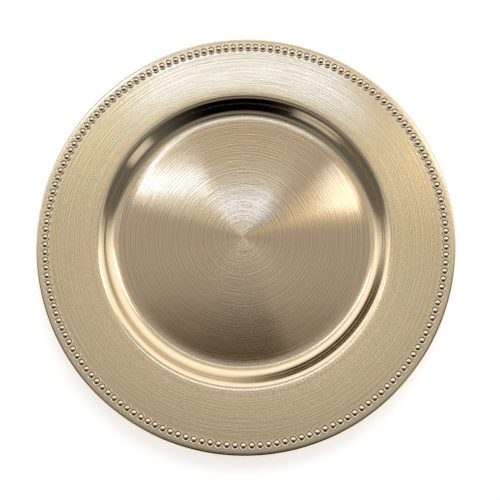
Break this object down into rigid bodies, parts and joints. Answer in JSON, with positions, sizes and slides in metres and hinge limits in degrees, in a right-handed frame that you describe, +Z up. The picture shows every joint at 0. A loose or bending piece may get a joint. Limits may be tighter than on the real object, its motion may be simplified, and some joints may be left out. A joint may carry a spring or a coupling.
{
  "type": "charger plate",
  "caption": "Round metal charger plate with a flat-floored well, a wide brushed rim, a border of small half beads and a rolled edge.",
  "frame": {"origin": "centre of the circle on which the foot ring stands", "axes": "+Z up along the plate's axis of symmetry, out of the well"},
  "size_m": [0.33, 0.33, 0.0203],
  "materials": {
    "sheet": "gold-toned plating under clear lacquer, brushed in circles on the floor and rim, polished on the wall and lip",
    "beads": "polished gold-toned plating",
    "wire": "plain drawn wire",
    "foot": "satin gold-toned plating"
  },
  "bodies": {
    "root": {"dish": "sheet", "bead_border": "beads", "edge_wire": "wire", "foot_ring": "foot"}
  },
  "joints": []
}
